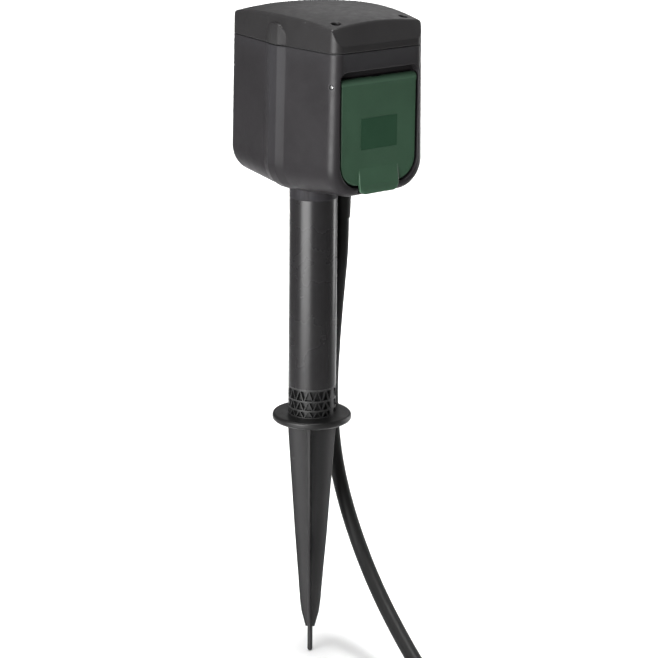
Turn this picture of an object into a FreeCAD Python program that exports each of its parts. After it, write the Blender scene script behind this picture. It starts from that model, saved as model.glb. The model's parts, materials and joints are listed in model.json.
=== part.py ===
import FreeCAD, Part
import math
import os

# Garden socket on a ground spike: two lidded earthed sockets, one facing front and one rear.
# Frame: +Z up, origin on the post's axis at the underside of the ground flange, where the soil
# surface lies in use. The front lid faces -Y. Millimetres throughout.

# Post, flange and lattice collar
TUBE_R = 15.0
TUBE_WALL = 2.0
TUBE_LENGTH = 121.0
SPIGOT_CLEARANCE = 0.15
SPIGOT_DEPTH = 21.0
SPIGOT_WALL = 2.8
NECK_LENGTH = 7.2
NECK_STUB_R = 12.0
NECK_STUB_CLEARANCE = 0.05
FLANGE_R = 25.0
FLANGE_THICKNESS = 4.5
FLANGE_RIM_ROUND = 1.6
LATTICE_WALL = 1.8
LATTICE_ROW_HEIGHTS = [4.7, 6.1, 7.2]
LATTICE_TOP_RING = 0.8
LATTICE_CELLS = 16
LATTICE_STRUT = 0.95
LATTICE_RIB_WIDTH = 3.4
LATTICE_RIB_ANGLE = -70.0

# Ground spike: four fins on the diagonals that run down to a round pin
SPIKE_LEVELS = [0.0, -76.0, -124.0, -132.0, -137.0, -143.0]
SPIKE_FIN_R = [15.5, 10.4, 6.7, 5.75, 4.5, 2.9]
SPIKE_VALLEY_SHARE = 0.34
SPIKE_EDGE_HALF = 0.9
SPIKE_EDGE_SHRINK = 0.045
SPIKE_PIN_R = 1.65
SPIKE_LENGTH = 160.0
SPIKE_STUB_HEIGHT = 16.0

# Head: a box that flares downwards and to the middle of each side, with a low rib there.
# The half widths are those at the crown.
HEAD_X = 9.0
HEAD_HALF_LENGTH = 51.7
FACE_HALF_WIDTH = 33.5
MIDDLE_HALF_WIDTH = 38.0
RIB_HALF = 9.5
RIB_HEIGHT = 2.0
RIB_TOP_DROP = 5.0
RIB_CREST_HALF = 3.3
SIDE_DRAFT = 2.0
BELLY_DROP = 3.0
HEAD_BODY_HEIGHT = 86.5
BOTTOM_CORNER_R = 18.0
UPRIGHT_CORNER_R = 6.5
HEAD_WALL = 2.6
SEAM_GAP = 0.6
SEAL_INSET = 0.8
SEAL_WIDTH = 1.5
CROWN_HEIGHT = 20.4
DOME_R = 255.0
RIM_ROUND = 1.8
BEVEL_START = 3.8
BEVEL_SETBACK = 5.7
BEVEL_RISE = 12.6
SKIRT_DEPTH = 4.0
SKIRT_THICKNESS = 1.6
SKIRT_CLEARANCE = 0.3

# Cover screws, in from the side faces' ends and from the front and rear faces
SCREW_IN_X = 7.8
SCREW_IN_Y = 11.0
BOSS_R = 4.2
BOSS_DROP = 4.8
BOSS_DEPTH = 10.0
SCREW_R = 1.5
SCREW_LENGTH = 16.0
SCREW_HEAD_R = 2.6
SCREW_HEAD_HEIGHT = 2.2
SCREW_WELL_R = 2.9
SCREW_SEAT_RISE = 4.0
THREAD_CLEARANCE = 0.03

# Lid, its recess and its hinge
LID_HALF_WIDTH = 28.75
LID_BOTTOM_RISE = 6.5
LID_CORNER_R = 13.5
LID_SET_BACK = 0.7
LID_THICKNESS = 2.2
LID_RIM_THICKNESS = 1.8
LID_RIM_DEPTH = 2.2
LID_EDGE_ROUND = 1.0
LID_GAP = 1.5
LIP_HALF_WIDTH = 15.0
LIP_DROP = 5.6
LIP_OUT = 1.3
LIP_THICKNESS = 2.0
LIP_BLEND = 10.0
LIP_CLEARANCE = 0.5
RECESS_DEPTH = 5.7
RECESS_TOP_CORNER_R = 5.0
RECESS_TOP_GAP = 8.4
HINGE_RISE = 67.3
BARREL_R = 3.5
BARREL_CLEARANCE = 0.6
PIN_R = 1.2
PIN_RUNNING = 0.05
PIN_SEAT = 0.02
PIN_HALF_LENGTH = 34.0
SPRING_WIRE_R = 0.35
SPRING_TURNS = 5.25
SPRING_PITCH = 0.9
SPRING_POCKET_HALF = 3.5
SPRING_ROOM = 0.25
SPRING_SWEEP = 0.8
SPRING_LEG = 7.0
SPRING_STUB = 0.8
PATCH_HALF_WIDTH = 13.75
PATCH_HEIGHT = 18.7
PATCH_RISE = 37.4
PATCH_THICKNESS = 0.4
PATCH_POCKET = 0.3
LID_SEAL_R = 24.0
LID_SEAL_WIDTH = 2.0
LID_SEAL_GROOVE = 0.8
LID_SEAL_GAP = 0.3

# Socket insert: an earthed round well with two pin holes
WELL_RISE = 36.5
WELL_R = 19.6
WELL_DEPTH = 17.5
WELL_WALL = 2.4
WELL_FLOOR = 2.5
WELL_CLEARANCE = 0.3
PLATE_HALF_WIDTH = 25.0
PLATE_HALF_HEIGHT = 24.0
PLATE_CORNER_R = 7.0
PLATE_THICKNESS = 1.5
GASKET_THICKNESS = 0.5
DRUM_R = 19.0
DRUM_DEPTH = 14.0
PIN_SPACING = 19.0
PIN_HOLE_R = 2.6
CHAMBER_HALF = 5.0
CHAMBER_HEAD = 10.0
SLEEVE_WALL = 1.3
SLEEVE_LENGTH = 11.0
TERMINAL_HALF = 4.0
TERMINAL_LENGTH = 6.0
TERMINAL_SCREW_R = 1.4
TERMINAL_HEAD_R = 2.4
TERMINAL_HEAD_HEIGHT = 2.0
STRAP_HALF_WIDTH = 3.5
STRAP_THICKNESS = 1.2
STRAP_CLEARANCE = 0.3
STRAP_REACH = 14.0
EARTH_TERMINAL_RISE = 9.5
EARTH_TERMINAL_HALF = 3.0
PLATE_SCREW_X = 20.5
PLATE_SCREW_Z = 19.5
PLATE_SCREW_R = 1.4
PLATE_SCREW_LENGTH = 8.0
PLATE_SCREW_HEAD_R = 2.4
PLATE_SCREW_HEAD = 1.1
PLATE_SCREW_SUNK = 0.6
PLATE_BOSS_R = 3.6

# Cable, its entry and its clamp
CABLE_R = 4.85
CABLE_OUT = 22.3
GROMMET_LENGTH = 23.5
GROMMET_TIP_WALL = 0.55
GROMMET_ROOT_WALL = 1.25
GROMMET_CLEARANCE = 0.1
GROMMET_FLANGE_R = 9.0
GROMMET_FLANGE = 1.6
CABLE_TOP_RISE = 24.5
CLAMP_HALF_WIDTH = 13.0
CLAMP_THICKNESS = 3.0
CLAMP_LOW = 4.5
CLAMP_HEIGHT = 10.0
CLAMP_BASE_DEPTH = 7.0
CLAMP_SCREW_OUT = 9.0
CLAMP_GAP = 0.05
WIRE_R = 1.3
WIRE_RING_R = 2.2
WIRE_SPLIT = 1.7

# Free cable: its route is a list of corner points, chosen by eye, from the grommet to the coil
CABLE_ROUTE = [
    (22.3, 0.0, 107.0),
    (23.2, 4.4, 82.0),
    (24.4, 9.6, 48.0),
    (27.2, 15.8, 8.0),
    (30.5, 15.5, -32.0),
    (33.5, 6.5, -67.0),
    (30.0, -16.0, -95.0),
    (24.0, -43.0, -115.5),
    (18.8, -70.0, -132.2),
    (15.8, -94.0, -147.0),
]
CABLE_LAST_RUN = 22.0
FLOOR_Z = -SPIKE_LENGTH
COIL_CENTRE_X = -47.5
COIL_CENTRE_Y = -139.1
COIL_START_ANGLE = -9.0
COIL_OUTER_R = 60.0
COIL_PITCH = 10.4
COIL_TURNS_IN = 2.0
COIL_TURNS_OUT = 1.5
TIE_THICKNESS = 1.3
TIE_WIDTH = 7.0
TIE_CLEARANCE = 0.3
TIE_TURN = 0.25

# Plug
PLUG_R = 18.6
PLUG_REST = 0.3
PLUG_FACE_LENGTH = 18.0
PLUG_TAPER_LENGTH = 18.0
PLUG_NECK_R = 10.5
PLUG_GUIDE_WIDTH = 7.0
PLUG_GUIDE_DEPTH = 1.6
PLUG_EARTH_WIDTH = 6.0
PLUG_EARTH_DEPTH = 2.6
PLUG_EARTH_STRIP = 0.8
PLUG_PIN_R = 2.4
PLUG_PIN_LENGTH = 19.0
PLUG_PIN_SUNK = 8.0
PLUG_PIN_ROOT_R = 1.9
BOOT_LENGTH = 26.0
BOOT_ROOT_R = 8.6
BOOT_TIP_R = 6.2
BOOT_RIBS = 5

# Derived levels and places
LATTICE_HEIGHT = sum(LATTICE_ROW_HEIGHTS) + LATTICE_TOP_RING
TUBE_LOW = FLANGE_THICKNESS + LATTICE_HEIGHT
TUBE_TOP = TUBE_LOW + TUBE_LENGTH
SPIGOT_R = TUBE_R - TUBE_WALL - SPIGOT_CLEARANCE
BELLY_Z = TUBE_TOP + NECK_LENGTH
HEAD_LOW = BELLY_Z + BELLY_DROP
BODY_TOP = HEAD_LOW + HEAD_BODY_HEIGHT
COVER_LOW = BODY_TOP + SEAM_GAP
CROWN_Z = COVER_LOW + CROWN_HEIGHT
FRONT_Y = -HEAD_HALF_LENGTH
LID_Y = FRONT_Y + LID_SET_BACK
LID_BACK_Y = LID_Y + LID_THICKNESS
LID_LOW = HEAD_LOW + LID_BOTTOM_RISE
HINGE_Z = HEAD_LOW + HINGE_RISE
HINGE_Y = LID_Y + BARREL_R
RECESS_Y = FRONT_Y + RECESS_DEPTH
RECESS_LOW = LID_LOW - LID_GAP
RECESS_TOP = HINGE_Z + RECESS_TOP_GAP
TROUGH_Y = HINGE_Y + BARREL_R + BARREL_CLEARANCE
TROUGH_LOW = HINGE_Z - BARREL_R - BARREL_CLEARANCE - SPRING_LEG
CAVITY_HALF = HEAD_HALF_LENGTH - RECESS_DEPTH - HEAD_WALL
PLATE_BACK_Y = RECESS_Y - GASKET_THICKNESS
PLATE_Y = PLATE_BACK_Y - PLATE_THICKNESS
WELL_Z = HEAD_LOW + WELL_RISE
WELL_FLOOR_Y = PLATE_Y + WELL_DEPTH
DRUM_Y = WELL_FLOOR_Y + WELL_FLOOR
DRUM_BACK_Y = DRUM_Y + DRUM_DEPTH
SLEEVE_R = PIN_HOLE_R + SLEEVE_WALL
SCREW_OUT_X = FACE_HALF_WIDTH - SCREW_IN_X
SCREW_OUT_Y = HEAD_HALF_LENGTH - SCREW_IN_Y
BOSS_TOP = BODY_TOP - BOSS_DROP
SCREW_SEAT = COVER_LOW + SCREW_SEAT_RISE
FLOOR_TOP = BELLY_Z + HEAD_WALL
GROMMET_LOW = BELLY_Z - GROMMET_LENGTH
CABLE_TOP = BELLY_Z + CABLE_TOP_RISE
COIL_Z = FLOOR_Z + TIE_THICKNESS + CABLE_R
COIL_LIFT = COIL_PITCH
PLUG_Z = FLOOR_Z + PLUG_R + PLUG_REST
COIL_TURNS = COIL_TURNS_IN + COIL_TURNS_OUT
COIL_STRAIGHT = 2.0 * CABLE_R

X = FreeCAD.Vector(1, 0, 0)
Y = FreeCAD.Vector(0, 1, 0)
Z = FreeCAD.Vector(0, 0, 1)
FAR = 400.0


def vec(x, y, z):
    return FreeCAD.Vector(x, y, z)


def box(x, y, z):
    """A box from three pairs of limits."""
    corner = vec(x[0], y[0], z[0])
    return Part.makeBox(x[1] - x[0], y[1] - y[0], z[1] - z[0], corner)


def rod(radius, start, direction, length):
    return Part.makeCylinder(radius, length, start, direction)


def pipe(outer, inner, start, direction, length):
    return rod(outer, start, direction, length).cut(rod(inner, start, direction, length))


def joined(shapes):
    """One solid from shapes that overlap, with no leftover seams."""
    return shapes[0].fuse(shapes[1:]).removeSplitter()


def turned(shape):
    """The same piece for the rear socket: half a turn about the head's upright axis."""
    copy = shape.copy()
    copy.rotate(vec(HEAD_X, 0, 0), Z, 180)
    return copy


def prism(points, sweep):
    """A flat outline of points, swept along a vector."""
    return Part.Face(Part.makePolygon(points + [points[0]])).extrude(sweep)


def save(node, shape):
    shape.exportStep("parts/" + node + ".step")
    print(node, "solids", len(shape.Solids), "valid", shape.isValid(), "volume", round(shape.Volume, 1))


# Head


def head_section(y, half_width, low, corner, top):
    """Upright outline across the head at one y: sides that flare downwards and rounded lower corners."""
    low_half = half_width + SIDE_DRAFT
    left = HEAD_X - low_half
    right = HEAD_X + low_half
    turn = corner * math.sqrt(0.5)
    points = [
        vec(HEAD_X - half_width, y, top),
        vec(left, y, low + corner),
        vec(left + corner, y, low),
        vec(right - corner, y, low),
        vec(right, y, low + corner),
        vec(HEAD_X + half_width, y, top),
    ]
    left_mid = vec(left + corner - turn, y, low + corner - turn)
    right_mid = vec(right - corner + turn, y, low + corner - turn)
    edges = [
        Part.LineSegment(points[0], points[1]).toShape(),
        Part.Arc(points[1], left_mid, points[2]).toShape(),
        Part.LineSegment(points[2], points[3]).toShape(),
        Part.Arc(points[3], right_mid, points[4]).toShape(),
        Part.LineSegment(points[4], points[5]).toShape(),
        Part.LineSegment(points[5], points[0]).toShape(),
    ]
    return Part.Wire(edges)


def flared_block(inset):
    """The head's plain form up to above the crown, with every wall moved in by inset."""
    top = CROWN_Z + HEAD_WALL
    corner = BOTTOM_CORNER_R - inset
    slope = (MIDDLE_HALF_WIDTH - FACE_HALF_WIDTH) / (HEAD_HALF_LENGTH - RIB_HALF)
    end = HEAD_HALF_LENGTH - inset
    end_half = FACE_HALF_WIDTH + slope * inset - inset
    sections = []
    for side in (-1, 1):
        face = head_section(side * end, end_half, HEAD_LOW + inset, corner, top)
        middle = head_section(side * RIB_HALF, MIDDLE_HALF_WIDTH - inset, BELLY_Z + inset, corner, top)
        sections += [face, middle] if side < 0 else [middle, face]
    block = Part.makeLoft(sections, True, True)
    ends = [e for e in block.Edges if is_end_edge(e, end, top)]
    return block.makeFillet(UPRIGHT_CORNER_R - inset, ends)


def is_end_edge(edge, end, top):
    """Whether an edge bounds the front or rear face, other than its top edge."""
    limits = edge.BoundBox
    flat = limits.YLength < 0.01 and abs(abs(limits.YMin) - end) < 0.01
    return flat and limits.ZMin < top - 0.01


def side_ribs():
    """The low upright rib in the middle of each side, with two sloping flanks."""
    crest = MIDDLE_HALF_WIDTH + RIB_HEIGHT
    places = [
        (-RIB_HALF, MIDDLE_HALF_WIDTH),
        (-RIB_CREST_HALF, crest),
        (RIB_CREST_HALF, crest),
        (RIB_HALF, MIDDLE_HALF_WIDTH),
    ]
    top = CROWN_Z + HEAD_WALL
    sections = [head_section(y, half, BELLY_Z, BOTTOM_CORNER_R, top) for y, half in places]
    raised = Part.makeLoft(sections, True, True)
    arch_z = edge_height(MIDDLE_HALF_WIDTH, 0) - RIB_TOP_DROP - RIB_HALF
    arch = rod(RIB_HALF, vec(HEAD_X - FAR / 2, 0, arch_z), X, FAR)
    below = box((-FAR, FAR), (-RIB_HALF, RIB_HALF), (BELLY_Z, arch_z))
    return raised.common(joined([arch, below]))


def edge_height(x_out, y_out):
    """Height of the domed top at a distance from the head's upright axis."""
    return CROWN_Z - DOME_R + math.sqrt(DOME_R ** 2 - x_out ** 2 - y_out ** 2)


def bevel_wedges(inset):
    """What the sloping bevels take off above the front and rear faces."""
    slope = math.atan2(BEVEL_SETBACK, BEVEL_RISE)
    shift = inset / math.cos(slope)
    reach = CROWN_Z + HEAD_WALL - COVER_LOW - BEVEL_START
    setback = reach * math.tan(slope)
    low = COVER_LOW + BEVEL_START
    wedges = []
    for side in (-1, 1):
        face = side * (HEAD_HALF_LENGTH - shift)
        points = [
            vec(HEAD_X - FAR / 2, face, low),
            vec(HEAD_X - FAR / 2, face - side * setback, low + reach),
            vec(HEAD_X - FAR / 2, face + side * UPRIGHT_CORNER_R * 2, low + reach),
            vec(HEAD_X - FAR / 2, face + side * UPRIGHT_CORNER_R * 2, low),
        ]
        wedges.append(prism(points, vec(FAR, 0, 0)))
    return wedges


def head_form(inset):
    """The whole head, domed and bevelled, with every wall moved in by inset."""
    dome = Part.makeSphere(DOME_R - inset, vec(HEAD_X, 0, CROWN_Z - DOME_R), X)
    form = flared_block(inset).common(dome)
    for wedge in bevel_wedges(inset):
        form = form.cut(wedge)
    return form


def rim_rounded(form):
    """The head's form with the edges around its dome rounded."""
    low = edge_height(MIDDLE_HALF_WIDTH, HEAD_HALF_LENGTH) - RIM_ROUND
    rim = [e for e in form.Edges if e.BoundBox.ZMin > low and not over_middle(e)]
    return form.makeFillet(RIM_ROUND, rim)


def over_middle(edge):
    """Whether an edge runs over the middle of the dome, where only a seam between its faces does."""
    centre = edge.CenterOfMass
    return math.hypot(centre.x - HEAD_X, centre.y) < RIB_HALF


def slab(low, high):
    return box((-FAR, FAR), (-FAR, FAR), (low, high))


def screw_places():
    return [(HEAD_X + i * SCREW_OUT_X, j * SCREW_OUT_Y) for i in (-1, 1) for j in (-1, 1)]


def recess_outline(grow, low, top, low_corner, top_corner):
    """Face of the lid's recess in the plane of the front face, with four rounded corners."""
    half = LID_HALF_WIDTH + grow
    outline = box((HEAD_X - half, HEAD_X + half), (0, 1), (low, top))
    lower = [e for e in outline.Edges if along_y(e) and e.CenterOfMass.z < low + 1]
    outline = outline.makeFillet(low_corner, lower)
    if top_corner > 0:
        upper = [e for e in outline.Edges if along_y(e) and e.CenterOfMass.z > top - 1]
        outline = outline.makeFillet(top_corner, upper)
    return [f for f in outline.Faces if f.BoundBox.YMax < 0.01][0]


def along_y(edge):
    limits = edge.BoundBox
    return limits.XLength < 0.01 and limits.ZLength < 0.01


def front_cuts():
    """Everything taken out of the front of the body for the lid, its hinge and the insert."""
    out = FRONT_Y - 2 * LID_EDGE_ROUND
    outline = recess_outline(LID_GAP, RECESS_LOW, RECESS_TOP, LID_CORNER_R + LID_GAP, RECESS_TOP_CORNER_R)
    outline.translate(vec(0, out, 0))
    recess = outline.extrude(vec(0, RECESS_Y - out, 0))
    half = LID_HALF_WIDTH + LID_GAP
    barrel_room = BARREL_R + BARREL_CLEARANCE
    trough = box((HEAD_X - half, HEAD_X + half), (FRONT_Y, TROUGH_Y),
                 (HINGE_Z - barrel_room, HINGE_Z + barrel_room))
    spring_half = SPRING_POCKET_HALF + BARREL_CLEARANCE
    spring_room = box((HEAD_X - spring_half, HEAD_X + spring_half), (FRONT_Y, TROUGH_Y), (TROUGH_LOW, HINGE_Z))
    opening = rod(WELL_R + WELL_WALL + WELL_CLEARANCE, vec(HEAD_X, FRONT_Y, WELL_Z), Y, HEAD_HALF_LENGTH / 2)
    bore = rod(PIN_R + PIN_SEAT, vec(HEAD_X - FAR / 2, HINGE_Y, HINGE_Z), X, FAR)
    lip_half = LIP_HALF_WIDTH + LIP_CLEARANCE
    lip_back = LID_Y - LIP_OUT + LIP_THICKNESS + LIP_CLEARANCE
    lip_room = box((HEAD_X - lip_half, HEAD_X + lip_half), (FRONT_Y - 1, lip_back), (HEAD_LOW - 1, LID_LOW))
    cuts = [recess, trough, spring_room, opening, bore, lip_room]
    for x, z in plate_screw_places():
        cuts.append(rod(PLATE_SCREW_R + THREAD_CLEARANCE, vec(x, FRONT_Y, z), Y,
                        PLATE_Y - FRONT_Y + PLATE_SCREW_LENGTH + 1))
    return cuts


def plate_screw_places():
    return [(HEAD_X + i * PLATE_SCREW_X, WELL_Z + j * PLATE_SCREW_Z) for i in (-1, 1) for j in (-1, 1)]


def front_blocks():
    """What is added behind the front wall: the hinge block and the insert's screw bosses."""
    low = TROUGH_LOW - HEAD_WALL
    high = RECESS_TOP + HEAD_WALL
    block = box((-FAR, FAR), (-CAVITY_HALF - HEAD_WALL, TROUGH_Y + HEAD_WALL), (low, high))
    half = MIDDLE_HALF_WIDTH
    blocks = [block.common(box((HEAD_X - half, HEAD_X + half), (-FAR, FAR), (low, high)))]
    for x, z in plate_screw_places():
        blocks.append(rod(PLATE_BOSS_R, vec(x, RECESS_Y, z), Y, PLATE_SCREW_LENGTH))
    return blocks


def head_neck(outer):
    """The round neck, bonded to the belly by its collar and stub, with the spigot for the post."""
    collar = rod(TUBE_R, vec(0, 0, TUBE_TOP), Z, HEAD_LOW - TUBE_TOP).cut(outer)
    stub = rod(NECK_STUB_R, vec(0, 0, TUBE_TOP), Z, FLOOR_TOP - TUBE_TOP)
    spigot = rod(SPIGOT_R, vec(0, 0, TUBE_TOP - SPIGOT_DEPTH), Z, SPIGOT_DEPTH + 1)
    bore = rod(SPIGOT_R - SPIGOT_WALL, vec(0, 0, 0), Z, FAR)
    return joined([collar, stub, spigot]).cut(group([bore, post_screw_hole(upper_screw_z())]))


def head_body(outer):
    inner = flared_block(HEAD_WALL)
    room = box((-FAR, FAR), (-CAVITY_HALF, CAVITY_HALF), (BELLY_Z, CROWN_Z + 2 * HEAD_WALL))
    shell = outer.common(slab(BELLY_Z - HEAD_WALL, BODY_TOP)).cut(inner.common(room))
    additions = [clamp_base()]
    for x, y in screw_places():
        additions.append(rod(BOSS_R, vec(x, y, BOSS_TOP - BOSS_DEPTH), Z, BOSS_DEPTH))
    for block in front_blocks():
        clipped = block.common(inner)
        additions += [clipped, turned(clipped)]
    body = joined([shell] + additions)
    body = body.cut(inner.common(slab(BOSS_TOP, BODY_TOP + 1)))
    cuts = []
    for cut in front_cuts():
        cuts += [cut, turned(cut)]
    for x, y in screw_places():
        cuts.append(rod(SCREW_R + THREAD_CLEARANCE, vec(x, y, SCREW_SEAT - SCREW_LENGTH - 1), Z, SCREW_LENGTH))
    cuts.append(rod(NECK_STUB_R + NECK_STUB_CLEARANCE, vec(0, 0, BELLY_Z - 1), Z, HEAD_WALL + 1))
    grommet_r = CABLE_R + GROMMET_CLEARANCE + GROMMET_ROOT_WALL + GROMMET_CLEARANCE
    cuts.append(rod(grommet_r, vec(CABLE_OUT, 0, BELLY_Z - 1), Z, HEAD_WALL + 2))
    cuts.append(rod(GROMMET_FLANGE_R + GROMMET_CLEARANCE, vec(CABLE_OUT, 0, FLOOR_TOP), Z,
                    GROMMET_FLANGE + GROMMET_CLEARANCE))
    cuts += clamp_screw_holes()
    return body.cut(Part.makeCompound(cuts)).removeSplitter()


def top_cover(outer):
    inner = head_form(HEAD_WALL)
    shell = outer.common(slab(COVER_LOW, CROWN_Z + 1)).cut(inner)
    skirt_out = head_form(HEAD_WALL + SKIRT_CLEARANCE)
    skirt_in = head_form(HEAD_WALL + SKIRT_CLEARANCE + SKIRT_THICKNESS)
    skirt = skirt_out.cut(skirt_in).common(slab(BODY_TOP - SKIRT_DEPTH, COVER_LOW))
    root = head_form(HEAD_WALL - SKIRT_CLEARANCE).cut(skirt_in)
    root = root.common(slab(COVER_LOW, COVER_LOW + SKIRT_THICKNESS))
    pieces = [shell, skirt, root]
    for x, y in screw_places():
        boss = rod(BOSS_R, vec(x, y, BOSS_TOP), Z, CROWN_Z - BOSS_TOP)
        pieces.append(boss.common(head_form_cap()))
    cover = joined(pieces)
    for x, y in screw_places():
        cover = cover.cut(rod(SCREW_R + THREAD_CLEARANCE, vec(x, y, BOSS_TOP - 1), Z, CROWN_Z))
        cover = cover.cut(rod(SCREW_WELL_R, vec(x, y, SCREW_SEAT), Z, CROWN_Z))
    return cover


def head_form_cap():
    """The space under the dome that the cover's screw bosses may fill."""
    dome = Part.makeSphere(DOME_R - HEAD_WALL / 2, vec(HEAD_X, 0, CROWN_Z - DOME_R))
    return dome


def cover_seal():
    ring = head_form(SEAL_INSET).cut(head_form(SEAL_INSET + SEAL_WIDTH))
    return ring.common(slab(BODY_TOP, COVER_LOW))


def pan_screw(place, direction, shank_r, length, head_r, head):
    """A screw whose head sits on place and whose shank runs along direction."""
    back = vec(direction.x, direction.y, direction.z).multiply(-1)
    shank = rod(shank_r, place, direction, length)
    cap = rod(head_r, place, back, head)
    rim = [e for e in cap.Edges if is_rim(e, place, back, head)]
    cap = cap.makeFillet(head * 0.4, rim)
    slot = cross_slot(place, back, head_r, head)
    return joined([shank, cap]).cut(slot)


def is_rim(edge, place, back, head):
    """Whether an edge is the round rim of a screw head's outer face."""
    away = edge.CenterOfMass.sub(place)
    return len(edge.Vertexes) == 1 and away.dot(back) > head * 0.9


def cross_slot(place, back, head_r, head):
    """The cross-shaped drive in a screw head."""
    long = head_r * 1.2
    wide = head_r * 0.3
    deep = head * 0.5
    bars = []
    for a, b in ((long, wide), (wide, long)):
        bar = Part.makeBox(a, b, head, vec(-a / 2, -b / 2, head - deep))
        bars.append(bar)
    cross = joined(bars)
    cross.Placement = FreeCAD.Placement(place, FreeCAD.Rotation(Z, back))
    return cross


def group(shapes):
    return Part.makeCompound(shapes)


def cover_screws():
    down = vec(0, 0, -1)
    screws = []
    for x, y in screw_places():
        seat = vec(x, y, SCREW_SEAT)
        screws.append(pan_screw(seat, down, SCREW_R, SCREW_LENGTH, SCREW_HEAD_R, SCREW_HEAD_HEIGHT))
    return group(screws)


# Post, flange, collar and spike


def upper_screw_z():
    return TUBE_TOP - SPIGOT_DEPTH / 2


def lower_screw_z():
    return TUBE_LOW + SPIGOT_DEPTH / 2


def post_screw_hole(z):
    depth = TUBE_WALL + SPIGOT_CLEARANCE + SPIGOT_WALL
    return rod(SCREW_R + THREAD_CLEARANCE, vec(0, TUBE_R - depth, z), Y, depth + 1)


def post_tube():
    tube = pipe(TUBE_R, TUBE_R - TUBE_WALL, vec(0, 0, TUBE_LOW), Z, TUBE_LENGTH)
    return tube.cut(group([post_screw_hole(upper_screw_z()), post_screw_hole(lower_screw_z())]))


def post_screws():
    inward = vec(0, -1, 0)
    length = TUBE_WALL + SPIGOT_CLEARANCE + SPIGOT_WALL
    screws = []
    for z in (upper_screw_z(), lower_screw_z()):
        seat = vec(0, TUBE_R, z)
        screws.append(pan_screw(seat, inward, SCREW_R, length, SCREW_HEAD_R, SCREW_HEAD_HEIGHT))
    return group(screws)


def ground_flange():
    disc = rod(FLANGE_R, vec(0, 0, 0), Z, FLANGE_THICKNESS)
    rims = [e for e in disc.Edges if len(e.Vertexes) == 1]
    disc = disc.makeFillet(FLANGE_RIM_ROUND, rims)
    core = rod(SPIGOT_R, vec(0, 0, FLANGE_THICKNESS / 2), Z, TUBE_LOW + SPIGOT_DEPTH - FLANGE_THICKNESS / 2)
    bore = rod(SPIGOT_R - SPIGOT_WALL, vec(0, 0, 0), Z, FAR)
    return joined([disc, core]).cut(group([bore, post_screw_hole(lower_screw_z())]))


def lattice_triangle(angle, low, high, points_up):
    """A radial cutter for one triangular gap."""
    cell = 2 * math.pi * TUBE_R / LATTICE_CELLS
    half = cell / 2 - LATTICE_STRUT * 0.75
    z0 = low + LATTICE_STRUT * 0.5
    z1 = high - LATTICE_STRUT * 0.5
    base, tip = (z0, z1) if points_up else (z1, z0)
    start = TUBE_R - LATTICE_WALL * 1.5
    points = [vec(start, -half, base), vec(start, half, base), vec(start, 0, tip)]
    cutter = prism(points, vec(LATTICE_WALL * 2, 0, 0))
    cutter.rotate(vec(0, 0, 0), Z, angle)
    return cutter


def lattice_collar():
    """An open sleeve of triangular gaps in three rows, between the flange and the post."""
    sleeve = pipe(TUBE_R, TUBE_R - LATTICE_WALL, vec(0, 0, FLANGE_THICKNESS), Z, LATTICE_HEIGHT)
    step = 360.0 / LATTICE_CELLS
    cutters = []
    low = FLANGE_THICKNESS
    for height in LATTICE_ROW_HEIGHTS:
        for i in range(LATTICE_CELLS):
            angle = LATTICE_RIB_ANGLE + i * step
            cutters.append(lattice_triangle(angle, low, low + height, True))
            cutters.append(lattice_triangle(angle + step / 2, low, low + height, False))
        low += height
    collar = sleeve.cut(cutters)
    half = LATTICE_RIB_WIDTH / 2
    inner = TUBE_R - LATTICE_WALL
    bar = box((-TUBE_R, TUBE_R), (-half, half), (FLANGE_THICKNESS, TUBE_LOW))
    bar.rotate(vec(0, 0, 0), Z, LATTICE_RIB_ANGLE)
    ribs = bar.common(pipe(TUBE_R, inner, vec(0, 0, FLANGE_THICKNESS), Z, LATTICE_HEIGHT))
    return joined([collar, ribs])


def spike_section(z, fin_r, edge_half):
    """Four-finned outline: a short flat at each fin's edge and a hollow between fins."""
    valley = fin_r * SPIKE_VALLEY_SHARE + edge_half / 2
    edges = []
    for i in range(4):
        a = math.radians(45 + 90 * i)
        along = vec(math.cos(a), math.sin(a), 0)
        across = vec(-math.sin(a), math.cos(a), 0)
        tip = along * fin_r + vec(0, 0, z)
        right = tip - across * edge_half
        left = tip + across * edge_half
        b = a + math.pi / 2
        next_tip = vec(math.cos(b), math.sin(b), 0) * fin_r + vec(0, 0, z)
        next_right = next_tip - vec(-math.sin(b), math.cos(b), 0) * edge_half
        m = a + math.pi / 4
        hollow = vec(math.cos(m), math.sin(m), 0) * valley + vec(0, 0, z)
        edges.append(Part.LineSegment(right, left).toShape())
        edges.append(Part.Arc(left, hollow, next_right).toShape())
    return Part.Wire(edges)


def ground_spike():
    sections = []
    for z, fin_r in zip(SPIKE_LEVELS, SPIKE_FIN_R):
        edge_half = SPIKE_EDGE_HALF - SPIKE_EDGE_SHRINK * (SPIKE_FIN_R[0] - fin_r)
        sections.append(spike_section(z, fin_r, edge_half))
    fins = Part.makeLoft(sections, True, True)
    tip_z = -SPIKE_LENGTH + SPIKE_PIN_R
    start = SPIKE_LEVELS[-2]
    pin = rod(SPIKE_PIN_R, vec(0, 0, tip_z), Z, start - tip_z)
    end = Part.makeSphere(SPIKE_PIN_R, vec(0, 0, tip_z))
    stub = rod(SPIGOT_R - SPIGOT_WALL - SPIGOT_CLEARANCE, vec(0, 0, -1), Z, SPIKE_STUB_HEIGHT + 1)
    stub_root = stub.common(Part.Face(sections[0]).extrude(vec(0, 0, -1)))
    stub = joined([stub.common(slab(0, FAR)), stub_root])
    return joined([fins, pin, end, stub])


# Lids


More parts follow.
